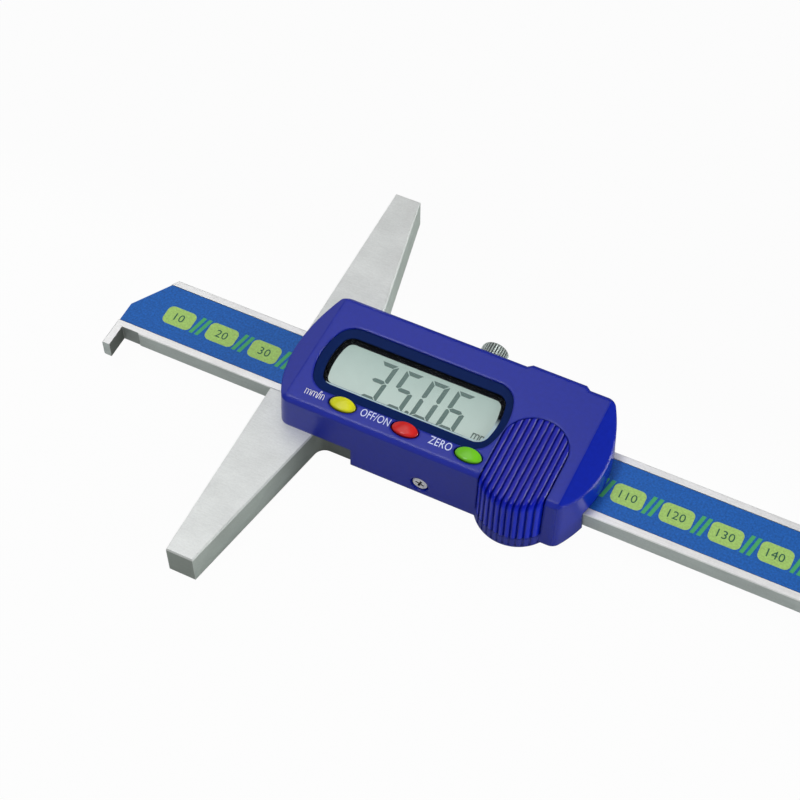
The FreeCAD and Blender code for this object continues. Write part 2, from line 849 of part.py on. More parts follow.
def port_hole(shrink):
    """Rectangular hole of the output port, along Y."""
    half = port_length / 2 - shrink
    z0 = board_top - port_floor_rise / 2 + shrink
    z1 = z0 + port_height - 2 * shrink
    return block(port_centre - half, port_centre + half, board_far, base_length, z0, z1)


def battery_cover():
    """Ribbed cover: a plate over the bay and a rounded wall down to the seam."""
    skin_top = housing_top - rib_height
    drop = Vector(0, 0, -rib_height)
    block_low = housing_block()
    block_low.translate(drop)
    foot = seam_z + cover_gap
    wide = block_low.fuse(round_bulge(-rib_height, foot, skin_top)).common(cover_plan(0, foot, skin_top))
    full = housing_block().fuse(round_bulge(0.0, foot, housing_top)).common(cover_plan(0, foot, housing_top))
    inner_low = bulge(-cover_wall, seam_z - past, cover_underside)
    inner_box = block(cover_x - cover_half_width + cover_wall, cover_x + cover_half_width - cover_wall,
                      -side_wall_y(housing_top) + cover_wall, base_length, seam_z - past, cover_underside)
    behind = block(cover_x - base_length, cover_x + base_length, -side_wall_y(housing_top) + side_wall,
                   base_length, seam_z - past, cover_underside)
    hollow = [inner_low, inner_box, behind]
    skin = wide.cut(hollow)
    ribs = ribs_on(full, foot, housing_top).cut(hollow)
    return skin.fuse(ribs).removeSplitter()


def battery_cell():
    """Button cell with a stepped edge."""
    low = board_top + contact_thickness
    foot = post(cell_radius - 0.6, cover_x, cell_y, low, low + 0.5)
    can = post(cell_radius, cover_x, cell_y, low + 0.5, low + cell_height)
    top_edge = [edge for edge in can.Edges if edge.BoundBox.ZMin > low + cell_height - 0.01]
    return foot.fuse(can.makeFillet(0.4, top_edge))


def battery_contact_low():
    """Leaf under the cell, with its tail on the board."""
    leaf = post(contact_radius, cover_x, cell_y, board_top, board_top + contact_thickness)
    tail = block(cover_x - 1, cover_x + 1, cell_y, cell_y + cell_radius + 2, board_top,
                 board_top + contact_thickness)
    return leaf.fuse(tail).removeSplitter()


def battery_contact_side():
    """Curved leaf that touches the can's far side."""
    inner = cell_radius
    outer = inner + contact_thickness * 1.5
    low = board_top + contact_thickness + 0.6
    turn = side_contact_angle
    ring = Part.makeCylinder(outer, side_contact_height, Vector(cover_x, cell_y, low), Vector(0, 0, 1), turn)
    bore = Part.makeCylinder(inner, side_contact_height + 2, Vector(cover_x, cell_y, low - 1))
    leaf = ring.cut(bore)
    leaf.rotate(Vector(cover_x, cell_y, 0), Vector(0, 0, 1), 90 - turn / 2 + turn)
    return leaf


def data_socket():
    """Contact block of the output port, on the board."""
    half = socket_length / 2
    y0 = board_far - 2.0
    body = block(port_centre - half, port_centre + half, y0, y0 + socket_depth, board_top,
                 board_top + socket_height)
    pitch = socket_length / (socket_contacts + 1)
    grooves = []
    for i in range(socket_contacts):
        x = port_centre - half + pitch * (i + 1)
        grooves.append(block(x - 0.35, x + 0.35, y0 + socket_depth - 1.2, y0 + socket_depth + past,
                             board_top + 0.8, board_top + socket_height - 0.8))
    return body.cut(grooves)


def port_cover():
    """Plug that closes the port, flush with the bulge, with three grip ribs."""
    reach = shoulder_half_width + port_bulge_reach
    hole = port_hole(port_gap)
    body = port_bulge().common(hole)
    keep = block(port_centre - port_length, port_centre + port_length, reach - port_cover_thickness,
                 reach + 2 * past, housing_bottom, housing_top)
    plug = body.common(keep)
    box = plug.BoundBox
    ribs = []
    for i in (-1, 0, 1):
        z = (box.ZMin + box.ZMax) / 2 + i * 1.0
        ribs.append(rib_on_plug(box, z))
    return plug.fuse(ribs).removeSplitter()


def rib_on_plug(box, z):
    """Small rounded grip rib along X."""
    face_y = side_wall_y(z) + port_bulge_reach
    length = box.XLength - 2.0
    return Part.makeCylinder(port_rib_height, length, Vector(port_centre - length / 2, face_y, z),
                             Vector(1, 0, 0))


def fluted_profile(radius, depth, count, x, y, z):
    """Closed outline with straight flutes, across the Y axis."""
    points = []
    for i in range(2 * count):
        angle = math.pi * i / count
        r = radius if i % 2 == 0 else radius - depth
        points.append(Vector(x + r * math.cos(angle), y, z + r * math.sin(angle)))
    return Part.Face(Part.makePolygon(points + points[:1]))


def lock_screw():
    """Clamp screw: fluted head, neck and shank that bears on the gib strip."""
    head_start = side_wall_y(beam_axis_z) + lock_head_gap
    head_end = head_start + lock_head_length
    z = beam_axis_z
    head = fluted_profile(lock_head_radius, lock_flute_depth, lock_flutes, lock_x, head_start, z)
    head = head.extrude(Vector(0, lock_head_length, 0))
    crown = Part.makeCylinder(lock_head_radius, lock_head_length, Vector(lock_x, head_start, z), Vector(0, 1, 0))
    rims = [edge for edge in crown.Edges if edge.BoundBox.YLength < 0.01]
    crown = crown.makeFillet(lock_head_round, [edge for edge in rims if edge.BoundBox.YMin > head_start + 1])
    rims = [edge for edge in crown.Edges if edge.BoundBox.YMax < head_start + 0.01]
    crown = crown.makeChamfer(lock_head_round / 3, rims)
    head = head.common(crown)
    neck = rod(lock_neck_radius, lock_x, frame_width / 2 + 0.1, head_start, z)
    shank = rod(lock_shank_radius, lock_x, gib_outer + lock_tip_gap, frame_width / 2 + 0.1, z)
    return head.fuse([neck, shank])


def side_screw():
    """Small cross-head screw in its pocket on the near side."""
    z = beam_axis_z
    seat = -side_wall_y(z) + side_pocket_depth
    head = rod(side_head_radius, side_screw_x, seat - side_head_height, seat, z)
    rim = [edge for edge in head.Edges if edge.BoundBox.YMax < seat - side_head_height + 0.01]
    head = head.makeFillet(side_head_height / 3, rim)
    tip = seat - side_head_height + side_screw_length
    shank = rod(side_shank_radius, side_screw_x, seat, tip, z)
    face = seat - side_head_height
    half = side_slot_length / 2
    width = side_slot_width / 2
    bars = [block(side_screw_x - half, side_screw_x + half, face - past, face + side_slot_depth,
                  z - width, z + width),
            block(side_screw_x - width, side_screw_x + width, face - past, face + side_slot_depth,
                  z - half, z + half)]
    for bar in bars:
        bar.rotate(Vector(side_screw_x, face, z), Vector(0, 1, 0), 20)
    return head.fuse(shank).cut(bars)


def housing_screws():
    """Four countersunk screws from the back."""
    return Part.makeCompound([countersunk_screw(x, y) for x, y in post_places])


pieces = {
    "base_frame": base_frame, "gib_strip": gib_strip, "gib_screws": gib_screws, "beam": beam,
    "scale_board": scale_board, "scale_label": scale_label, "end_stop": end_stop,
    "end_stop_screws": end_stop_screws, "guide_plate": guide_plate, "circuit_board": circuit_board,
    "controller_chip": controller_chip, "display_bezel": display_bezel, "lcd_holder": lcd_holder,
    "lcd_panel": lcd_panel, "contact_strips": contact_strips, "display_lens": display_lens,
    "button_mat": button_mat, "housing": housing, "battery_cover": battery_cover,
    "battery_cell": battery_cell, "battery_contact_low": battery_contact_low,
    "battery_contact_side": battery_contact_side, "data_socket": data_socket, "port_cover": port_cover,
    "lock_screw": lock_screw, "side_screw": side_screw, "housing_screws": housing_screws,
}
for node, make in pieces.items():
    save(node, make())
for node, x in zip(("unit_button", "power_button", "zero_button"), button_xs):
    save(node, button(x))
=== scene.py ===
"""Digital depth gauge: finishes, printed and displayed marks, floor, light and camera over its solids."""
import math

import bmesh
import bpy
from mathutils import Matrix, Vector


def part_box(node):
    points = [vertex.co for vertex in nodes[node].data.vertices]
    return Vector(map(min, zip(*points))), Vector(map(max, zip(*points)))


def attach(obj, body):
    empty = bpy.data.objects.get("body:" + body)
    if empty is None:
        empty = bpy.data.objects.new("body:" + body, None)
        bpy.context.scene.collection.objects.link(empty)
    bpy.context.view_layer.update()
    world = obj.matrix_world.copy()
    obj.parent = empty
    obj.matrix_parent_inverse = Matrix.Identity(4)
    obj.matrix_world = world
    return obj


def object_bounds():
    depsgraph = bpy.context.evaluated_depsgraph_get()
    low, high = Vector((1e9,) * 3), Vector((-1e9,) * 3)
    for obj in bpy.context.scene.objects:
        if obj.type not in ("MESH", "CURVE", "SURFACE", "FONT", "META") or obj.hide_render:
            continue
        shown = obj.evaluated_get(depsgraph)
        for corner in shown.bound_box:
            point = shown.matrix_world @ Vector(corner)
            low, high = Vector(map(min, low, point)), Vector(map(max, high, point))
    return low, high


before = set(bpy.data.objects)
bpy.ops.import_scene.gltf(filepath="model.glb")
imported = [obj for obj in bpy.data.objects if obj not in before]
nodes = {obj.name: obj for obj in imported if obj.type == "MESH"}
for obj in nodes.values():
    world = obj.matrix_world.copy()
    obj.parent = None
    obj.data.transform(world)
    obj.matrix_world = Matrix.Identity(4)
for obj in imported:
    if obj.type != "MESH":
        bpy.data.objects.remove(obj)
cad_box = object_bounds()

MM = 0.001


def box_of(node):
    """Lowest and highest corner of a solid, in millimetres."""
    return [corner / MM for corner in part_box(node)]


# Sizes and places on the gauge, in millimetres, with the measuring face at X 0
reading = 35.06
hook_face = -reading
notch_length = 4.1
near_arm_turn = (-30.0, -17.0)
far_arm_turn = (14.0, 18.0)
rib_count = 11
print_height = 0.02
housing_top = box_of("housing")[1].z
glass_top = box_of("lcd_panel")[1].z


# Node building

def add_node(tree, kind, settings=None, inputs=None, output=0):
    """Adds a node, sets it up and returns one of its outputs. A colour is three numbers."""
    made = tree.nodes.new(kind)
    for key, value in (settings or {}).items():
        setattr(made, key, value)
    for key, value in (inputs or {}).items():
        socket = made.inputs[key]
        if isinstance(value, bpy.types.NodeSocket):
            tree.links.new(value, socket)
        else:
            socket.default_value = (*value, 1.0) if socket.type == "RGBA" else value
    return made.outputs[output] if made.outputs else None


class Value:
    """A shader socket that can be used in sums."""

    def __init__(self, look, socket):
        self.look = look
        self.socket = socket

    def maths(self, operation, *others):
        """This value, and any others after it, through a Math node."""
        return self.look.node("ShaderNodeMath", {"operation": operation}, dict(enumerate((self, *others))))

    def reflected(self, operation, first):
        """A plain number before this value through a Math node."""
        return self.look.node("ShaderNodeMath", {"operation": operation}, {0: first, 1: self})

    def __add__(self, other):
        return self.maths("ADD", other)

    def __radd__(self, other):
        return self.reflected("ADD", other)

    def __sub__(self, other):
        return self.maths("SUBTRACT", other)

    def __rsub__(self, other):
        return self.reflected("SUBTRACT", other)

    def __mul__(self, other):
        return self.maths("MULTIPLY", other)

    def __rmul__(self, other):
        return self.reflected("MULTIPLY", other)


class Look:
    """A material, or the world, under construction."""

    def __init__(self, name, world=None):
        self.material = world or bpy.data.materials.new(name)
        self.material.use_nodes = True
        self.tree = self.material.node_tree
        self.tree.nodes.clear()

    def node(self, kind, settings=None, inputs=None, output=0):
        """Adds a node whose inputs are plain values or other nodes' values."""
        plain = {}
        for key, value in (inputs or {}).items():
            plain[key] = value.socket if isinstance(value, Value) else value
        return Value(self, add_node(self.tree, kind, settings, plain, output))

    def spot(self, stretch=(1, 1, 1)):
        """Object coordinates in millimetres, stretched along each axis."""
        spot = self.node("ShaderNodeTexCoord", output="Object")
        return self.node("ShaderNodeVectorMath", {"operation": "MULTIPLY"},
                         {0: spot, 1: [share / MM for share in stretch]})

    def place(self, axis):
        """Place along X, Y or Z, in millimetres."""
        return self.node("ShaderNodeSeparateXYZ", inputs={0: self.spot()}, output=axis)

    def normal(self):
        """Way that the surface faces."""
        return self.node("ShaderNodeNewGeometry", output="Normal")

    def facing(self, axis):
        """How far the surface faces along X, Y or Z, from -1 to 1."""
        return self.node("ShaderNodeSeparateXYZ", inputs={0: self.normal()}, output=axis)

    def off_axis(self, low, high):
        """Distance from the line along Y through the middle of a box, in millimetres."""
        off_x = self.place("X") - (low.x + high.x) / 2
        off_z = self.place("Z") - (low.z + high.z) / 2
        return (off_x * off_x + off_z * off_z).maths("SQRT")

    def noise(self, stretch, detail=3.0):
        """Cloudy pattern from 0 to 1; a larger stretch makes it finer along that axis."""
        return self.node("ShaderNodeTexNoise", inputs={
            "Vector": self.spot(stretch), "Scale": 1.0, "Detail": detail, "Roughness": 0.55})

    def between(self, value, low, high, new_low=0.0, new_high=1.0):
        """A value moved from one range to another and held at its ends."""
        return self.node("ShaderNodeMapRange", {"clamp": True}, {
            "Value": value, "From Min": low, "From Max": high, "To Min": new_low, "To Max": new_high})

    def mix(self, share, first, second):
        """Colour from the first, at share 0, to the second, at 1."""
        return self.node("ShaderNodeMix", {"data_type": "RGBA"}, {0: share, 6: first, 7: second}, output=2)

    def scaled(self, tint, shade):
        """Colour made lighter or darker."""
        return self.node("ShaderNodeVectorMath", {"operation": "SCALE"}, {0: tint, "Scale": shade})

    def soft_edges(self, radius):
        """Normal rounded over edges, radius in millimetres."""
        return self.node("ShaderNodeBevel", {"samples": 6}, {"Radius": radius * MM})

    def bump(self, height, strength, depth, normal):
        """Normal with a fine relief on it, depth in millimetres."""
        return self.node("ShaderNodeBump", inputs={
            "Height": height, "Strength": strength, "Distance": depth * MM, "Normal": normal})

    def surface(self, **inputs):
        """Ends the material in a principled shader and returns it. Inputs are written like base_color."""
        named = {key.replace("_", " ").title().replace("Ior", "IOR"): value for key, value in inputs.items()}
        shader = self.node("ShaderNodeBsdfPrincipled", inputs=named)
        self.node("ShaderNodeOutputMaterial", inputs={"Surface": shader})
        return self.material


def colour(red, green, blue):
    """Linear colour from the way a colour looks on a screen, 0 to 1."""
    parts = (red, green, blue)
    return [part / 12.92 if part <= 0.04045 else ((part + 0.055) / 1.055) ** 2.4 for part in parts]


# Metal finishes

def arm_light(look):
    """Light on the base's sides: less by the housing on the near arm, more on the far arm."""
    across = look.place("Y")
    return look.between(across, *near_arm_turn, 1.0, 0.55) + look.between(across, *far_arm_turn, 0.0, 0.9)


def hook_light(look):
    """Light on the beam's sides: less in the notch behind the hook."""
    along = look.place("X")
    notch_end = hook_face + notch_length
    past_hook = look.between(along, hook_face - 0.1, hook_face)
    before_end = look.between(along, notch_end - 0.3, notch_end, 1.0, 0.0)
    return 1.0 - past_hook * before_end * 0.4


def ground_steel(name, along, across, side_light, top_tint, side_tint, tail_tint):
    """Steel with a ground grain, stretched along X and across it. Its sides and the faces towards the tail
    are duller from their grind and also hold painted shade and light, and its rounded edges carry a painted
    highlight.
    """
    look = Look(name)
    grain = look.noise((along, across, 2.0), detail=4.0)
    speck = look.noise((2.6, 2.6, 2.6), detail=2.0)
    cloud = look.noise((0.12, 0.16, 0.3))
    shade = 0.66 + grain * 0.24 + speck * 0.16 + cloud * 0.28
    # Tints by facing: partly a duller grind, partly painted shade and light on faces turned each way.
    sides = look.mix(look.between(look.facing("X"), 0.5, 0.9), side_tint, tail_tint)
    lit_sides = look.scaled(sides, side_light(look))
    steel = look.mix(look.between(look.facing("Z"), 0.3, 0.9), lit_sides, top_tint)
    rounded = look.soft_edges(0.16)
    bend = look.node("ShaderNodeVectorMath", {"operation": "DOT_PRODUCT"}, {0: rounded, 1: look.normal()},
                     output="Value")
    # Painted highlight: the colour turns bright where the rounded normal bends away over an edge.
    painted_edge_highlight = look.between(bend, 0.80, 0.98, 0.8, 0.0)
    grain_and_painted_highlight = look.mix(painted_edge_highlight, look.scaled(steel, shade), (0.95, 0.96, 0.95))
    return look.surface(base_color=grain_and_painted_highlight, metallic=0.55, roughness=0.45 + grain * 0.1,
                        normal=look.bump(grain, 0.2, 0.008, rounded))


def slotted_steel():
    """Side screw: bright head, with painted shade making its cross-shaped hollow inside its rim dark."""
    look = Look("slotted_steel")
    low, high = box_of("side_screw")
    rim = look.between(look.off_axis(low, high), 1.02, 1.08)
    # Painted shade: darker where the surface lies deeper than the head's face.
    painted_recess_shade = look.between(look.place("Y"), low.y + 0.02, low.y + 0.1, 1.0, 0.04)
    shade = painted_recess_shade + rim * (1.0 - painted_recess_shade)
    return look.surface(base_color=look.scaled((0.85, 0.85, 0.88), shade), metallic=0.3, roughness=0.3,
                        normal=look.soft_edges(0.05))


def fluted_steel():
    """Clamp screw: bright crests with painted shade in the grooves between them round its head, and a bright
    end face.
    """
    look = Look("fluted_steel")
    low, high = box_of("lock_screw")
    head_radius = (high.x - low.x) / 2
    # Painted shade: darker down in the grooves between the crests.
    painted_flute_shade = look.between(look.off_axis(low, high), head_radius - 0.2, head_radius - 0.02, 0.12, 1.0)
    end_face = look.between(look.facing("Y").maths("ABSOLUTE"), 0.5, 0.9)
    shade = end_face + (1.0 - end_face) * painted_flute_shade
    return look.surface(base_color=look.scaled((0.60, 0.68, 0.64), shade), metallic=0.5, roughness=0.5)


def turned_metal(name, tint, metallic=1.0):
    """Small machined metal parts."""
    look = Look(name)
    grain = look.noise((3.0, 3.0, 3.0))
    return look.surface(base_color=look.scaled(tint, 0.8 + grain * 0.35), metallic=metallic,
                        roughness=0.3 + grain * 0.15, normal=look.soft_edges(0.08))


# Plastic, rubber, film and glass finishes

def moulded(name, tint, roughness, edge, gloss=0.5, grain_depth=0.004, polish=0.0):
    """Moulded plastic with a fine spark-eroded texture, smoother where it faces the tail."""
    look = Look(name)
    fine = look.noise((5.0, 5.0, 5.0), detail=2.0)
    mottle = look.noise((1.1, 1.1, 1.1))
    smoother = look.between(look.facing("X"), 0.3, 0.5, 0.0, polish)
    return look.surface(base_color=look.scaled(tint, 0.84 + mottle * 0.32), specular_ior_level=gloss,
                        roughness=roughness + fine * 0.08 - smoother,
                        normal=look.bump(fine, 0.5, grain_depth, look.soft_edges(edge)))


def ribbed_plastic(name, top_tint, wall_tint):
    """Battery cover: rounds the crest of each rib, with painted shade darkening it between two ribs, and its
    walls tinted lighter than its top as painted light.
    """
    look = Look(name)
    low, high = box_of("battery_cover")
    ribs_passed = (look.place("X") - low.x) * (rib_count / (high.x - low.x))
    side = (ribs_passed.maths("FRACT") * 2.0 - 1.0).maths("ABSOLUTE")
    crest = (1.0 - side * side).maths("SQRT")
    # Painted shade: darker between two ribs.
    painted_groove_shade = look.between(side, 0.6, 1.0, 1.0, 0.88)
    # The walls' lighter tint than the top's is painted light on one plastic.
    plastic = look.mix(look.between(look.facing("Z"), 0.2, 0.8), wall_tint, top_tint)
    return look.surface(base_color=look.scaled(plastic, painted_groove_shade), roughness=0.15, specular_ior_level=0.26,
                        normal=look.bump(crest, 1.0, 0.45, look.soft_edges(0.35)))


def printed(name, tint, roughness=0.45, speckle=0.3):
    """Printed film or ink with a fine speckle."""
    look = Look(name)
    mottle = look.noise((2.4, 2.4, 2.4))
    ink = look.scaled(tint, 1.0 - speckle / 2 + mottle * speckle)
    return look.surface(base_color=ink, roughness=roughness, specular_ior_level=0.3)


def display_frame():
    """Black frame of the display, with a pale glint on its near edge and on its corner by the cover."""
    look = Look("display_frame")
    low, high = box_of("lcd_holder")
    across = look.place("Y")
    near_edge = look.between(across, low.y + 1.9, low.y + 2.0, 1.0, 0.0)
    tail_end = look.between(look.place("X"), high.x - 7.0, high.x - 6.0)
    near_half = look.between(across, -1.5, 0.5, 1.0, 0.0)
    glint = near_edge.maths("MAXIMUM", tail_end * near_half) * look.between(look.facing("Z"), 0.5, 0.9)
    fine = look.noise((5.0, 5.0, 5.0), detail=2.0)
    tint = look.mix(glint, (0.003, 0.004, 0.006), colour(0.80, 0.90, 0.93))
    return look.surface(base_color=tint, roughness=0.6 + fine * 0.08, specular_ior_level=0.05)


def display_glass():
    """Grey-green display, with painted shade making it darker under the far edge of its frame and painted
    light making it lighter towards the near edge.
    """
    look = Look("display_glass")
    low, high = box_of("lcd_panel")
    mottle = look.noise((0.5, 0.5, 0.5), detail=2.0)
    # Painted shade and light: darker towards the far edge, lighter towards the near edge.
    depth = look.between(look.place("Y"), low.y + 2.0, high.y - 1.5)
    glass = look.mix(depth, colour(0.86, 0.94, 0.91), colour(0.76, 0.86, 0.83))
    return look.surface(base_color=look.scaled(glass, 0.96 + mottle * 0.08), roughness=0.35)


def clear_window():
    """Clear window with a faint smear in its gloss."""
    look = Look("clear_window")
    smear = look.noise((0.2, 0.4, 1.0), detail=2.0)
    return look.surface(base_color=(0.02, 0.02, 0.02), roughness=0.06 + smear * 0.06, alpha=0.06)


def button_cap(name, tint):
    """Smooth button cap, with painted shade making it darker round its foot in the housing."""
    look = Look(name)
    # Painted shade: darker towards the foot of the cap in the housing.
    clear_of_painted_shade = look.between(look.place("Z"), housing_top - 0.3, housing_top + 0.45)
    cap = look.mix(clear_of_painted_shade, [part * 0.35 for part in tint], tint)
    fine = look.noise((4.0, 4.0, 4.0), detail=2.0)
    return look.surface(base_color=cap, roughness=0.2 + fine * 0.05,
                        normal=look.bump(fine, 0.4, 0.002, look.soft_edges(0.2)))


# Top, side and tail tints differ partly by grind and partly by painted light and shade.
steel_base = ground_steel("ground_steel_base", along=0.8, across=6.0, side_light=arm_light,
                          top_tint=(0.75, 0.77, 0.76), side_tint=(0.35, 0.39, 0.36),
                          tail_tint=(0.50, 0.56, 0.52))
steel_beam = ground_steel("ground_steel_beam", along=0.15, across=6.0, side_light=hook_light,
                          top_tint=(0.93, 0.93, 0.93), side_tint=(0.62, 0.68, 0.66),
                          tail_tint=(0.30, 0.33, 0.30))
steel_bright = turned_metal("bright_steel", (0.95, 0.95, 0.97), metallic=0.4)
steel_dull = turned_metal("dull_steel", (0.42, 0.44, 0.41))
brass = turned_metal("machined_brass", (0.60, 0.44, 0.16))
blue_plastic = moulded("blue_plastic", (0.002, 0.014, 0.33), 0.28, edge=0.7, polish=0.14)
cover_plastic = ribbed_plastic("cover_plastic", (0.001, 0.008, 0.40), (0.002, 0.020, 0.60))
navy_plastic = moulded("navy_plastic", (0.002, 0.014, 0.090), 0.40, edge=0.15, gloss=0.06, grain_depth=0.002)
black_plastic = moulded("black_plastic", (0.003, 0.004, 0.006), 0.6, edge=0.1, gloss=0.05)
grey_rubber = moulded("grey_rubber", (0.16, 0.16, 0.16), 0.7, edge=0.1)
circuit_green = moulded("circuit_green", (0.015, 0.12, 0.04), 0.35, edge=0.05)
label_blue = printed("label_blue", colour(0.06, 0.36, 0.69), speckle=1.4)
print_light = printed("print_light_green", colour(0.64, 0.79, 0.42), speckle=0.8)
print_deep = printed("print_deep_green", colour(0.27, 0.66, 0.40))
print_grey = printed("print_grey_green", colour(0.17, 0.37, 0.30))
print_white = printed("print_white", colour(0.83, 0.86, 0.97))
print_bright = printed("print_bright", colour(1.0, 1.0, 1.0))
display_ink = printed("display_ink", colour(0.44, 0.54, 0.52), roughness=0.4)
yellow_cap = button_cap("yellow_cap", colour(0.84, 0.84, 0.10))
red_cap = button_cap("red_cap", colour(0.82, 0.14, 0.13))
green_cap = button_cap("green_cap", colour(0.44, 0.78, 0.12))

dressed_in = [
    (steel_base, ["base_frame", "guide_plate"]),
    (steel_beam, ["beam", "end_stop"]),
    (slotted_steel(), ["side_screw"]),
    (fluted_steel(), ["lock_screw"]),
    (steel_bright, ["end_stop_screws", "housing_screws", "battery_cell", "battery_contact_low",
                    "battery_contact_side"]),
    (steel_dull, ["gib_screws"]),
    (brass, ["gib_strip"]),
    (blue_plastic, ["housing", "port_cover"]),
    (cover_plastic, ["battery_cover"]),
    (navy_plastic, ["display_bezel"]),
    (black_plastic, ["data_socket", "controller_chip"]),
    (grey_rubber, ["contact_strips", "button_mat"]),
    (circuit_green, ["circuit_board", "scale_board"]),
    (label_blue, ["scale_label"]),
    (display_frame(), ["lcd_holder"]),
    (display_glass(), ["lcd_panel"]),
    (clear_window(), ["display_lens"]),
    (yellow_cap, ["unit_button"]),
    (red_cap, ["power_button"]),
    (green_cap, ["zero_button"]),
]
for finish, node_names in dressed_in:
    for node_name in node_names:
        for held in nodes[node_name].material_slots:
            held.material = finish


# Pieces

def add_piece(name, mesh, material, body):
    """Mesh in metres and in place, as a piece that moves with a body."""
    piece = bpy.data.objects.new(name, mesh)
    bpy.context.scene.collection.objects.link(piece)
    mesh.materials.clear()
    mesh.materials.append(material)
    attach(piece, body)


def plain_mesh(holder):
    """Finished shape of a new object as a mesh of its own; the object itself is removed."""
    bpy.context.scene.collection.objects.link(holder)
    bpy.context.view_layer.update()
    finished = holder.evaluated_get(bpy.context.evaluated_depsgraph_get())
    mesh = bpy.data.meshes.new_from_object(finished)
    holder.modifiers.clear()
    bpy.data.objects.remove(holder)
    return mesh


def joined(name, meshes):
    """One mesh from several."""
    bm = bmesh.new()
    for mesh in meshes:
        bm.from_mesh(mesh)
        bpy.data.meshes.remove(mesh)
    made = bpy.data.meshes.new(name)
    bm.to_mesh(made)
    bm.free()
    return made


def flat_shapes(name, outlines, z):
    """Thin printed shapes: outlines as X, Y points in millimetres, laid on a level."""
    bm = bmesh.new()
    for outline in outlines:
        face = bm.faces.new([bm.verts.new((x * MM, y * MM, z * MM)) for x, y in outline])
        raised = bmesh.ops.extrude_face_region(bm, geom=[face])
        top = [part for part in raised["geom"] if isinstance(part, bmesh.types.BMVert)]
        bmesh.ops.translate(bm, vec=(0, 0, print_height * MM), verts=top)
    bmesh.ops.recalc_face_normals(bm, faces=bm.faces)
    mesh = bpy.data.meshes.new(name)
    bm.to_mesh(mesh)
    bm.free()
    return mesh


def words(name, text, middle, low, high, z, width=None):
    """Text as a thin mesh round a middle; without a width it keeps the letters' own proportions."""
    curve = bpy.data.curves.new(name, "FONT")
    curve.body = text
    curve.space_character = 1.04
    curve.extrude = print_height / 2
    curve.resolution_u = 3
    mesh = plain_mesh(bpy.data.objects.new(name, curve))
    xs = [v.co.x for v in mesh.vertices]
    ys = [v.co.y for v in mesh.vertices]
    scale_y = (high - low) / (max(ys) - min(ys))
    scale_x = width / (max(xs) - min(xs)) if width else scale_y
    mesh.transform(Matrix.Translation((middle * MM, low * MM, (z + print_height / 2) * MM))
                   @ Matrix.Diagonal((scale_x * MM, scale_y * MM, MM, 1))
                   @ Matrix.Translation((-(min(xs) + max(xs)) / 2, -min(ys), 0)))
    return mesh


# Small thin letters, too small for the font: strokes in letter heights, and the step to the next letter

stem = [(0, 0), (0, 0.72)]


def arch(left):
    """Stroke that leaves a stem, bends over and comes down."""
    return [(left, 0.56), (left + 0.14, 0.72), (left + 0.3, 0.72), (left + 0.42, 0.58), (left + 0.42, 0)]


strokes_of = {
    "m": ([stem, arch(0), arch(0.42)], 1.08),
    "n": ([stem, arch(0)], 0.66),
    "i": ([stem, [(0, 0.94), (0, 1.06)]], 0.26),
    "/": ([[(-0.1, -0.08), (0.16, 1.08)]], 0.3),
}


def letters(name, text, left, low, wide, high, thick, lean, z):
    """Letters drawn as strokes, from their left end and foot, with all sizes in millimetres."""
    outlines = []
    for letter in text:
        strokes, step = strokes_of[letter]
        for stroke in strokes:
            path = [Vector((left + x * wide + y * high * lean, low + y * high)) for x, y in stroke]
            for start, end in zip(path, path[1:]):
                along = (end - start).normalized() * thick / 2
                aside = Vector((-along.y, along.x))
                outlines.append([start - along + aside, start - along - aside, end + along - aside,
                                 end + along + aside])
        left += step * wide
    return flat_shapes(name, outlines, z)


# Figures of the display, in millimetres: each is drawn with some of seven bars
digit_width = 3.95
digit_height = 9.8
digit_pitch = 5.6
digit_left = 19.5
digit_base = -6.4
digit_slant = 0.074
bar_thick = 0.95
bar_gap = 0.11
point_x = 29.35
point_y = -5.85
point_radius = 0.45
point_sides = 12
bars_of = {"3": "abgcd", "5": "afgcd", "0": "abcdef", "6": "afgecd"}


def bar_outline(letter):
    """Outline of a bar, from the figure's lower left: a to f go clockwise from the top, g crosses it."""
    wide, high, thick = digit_width, digit_height, bar_thick
    middle = high / 2
    inset = thick + bar_gap
    if letter == "g":
        point = thick * 0.5 + bar_gap
        return [(point, middle), (inset, middle + thick / 2), (wide - inset, middle + thick / 2),
                (wide - point, middle), (wide - inset, middle - thick / 2), (inset, middle - thick / 2)]
    if letter in "ad":
        end = thick * 0.2 + bar_gap
        outline = [(end, high), (wide - end, high), (wide - inset, high - thick), (inset, high - thick)]
    else:
        outline = [(0, middle + thick * 0.3), (thick * 0.45, middle + bar_gap),
                   (thick, middle + thick / 2 + bar_gap), (thick, high - inset),
                   (thick * 0.1, high - thick * 0.1 - bar_gap), (0, high - thick * 0.3)]
    if letter in "cde":
        outline = [(x, high - y) for x, y in reversed(outline)]
    if letter in "bc":
        outline = [(wide - x, y) for x, y in reversed(outline)]
    return outline


def reading_outlines():
    """Outlines of the lit bars of the reading's figures, and of its point."""
    outlines = []
    for place, figure in enumerate(f"{reading:.2f}".replace(".", "")):
        left = digit_left + place * digit_pitch
        for letter in bars_of[figure]:
            outlines.append([(left + x + digit_slant * (y - digit_height), digit_base + y)
                             for x, y in bar_outline(letter)])
    turns = [2 * math.pi * corner / point_sides for corner in range(point_sides)]
    outlines.append([(point_x + point_radius * math.cos(turn), point_y + point_radius * math.sin(turn))
                     for turn in turns])
    return outlines


digits = flat_shapes("display_digits", reading_outlines(), glass_top)
unit = letters("display_unit", "mm", left=43.1, low=-5.72, wide=1.55, high=1.6, thick=0.22, lean=0.05,
               z=glass_top)
add_piece("display_digits", joined("display_digits", [digits, unit]), display_ink, "slider")

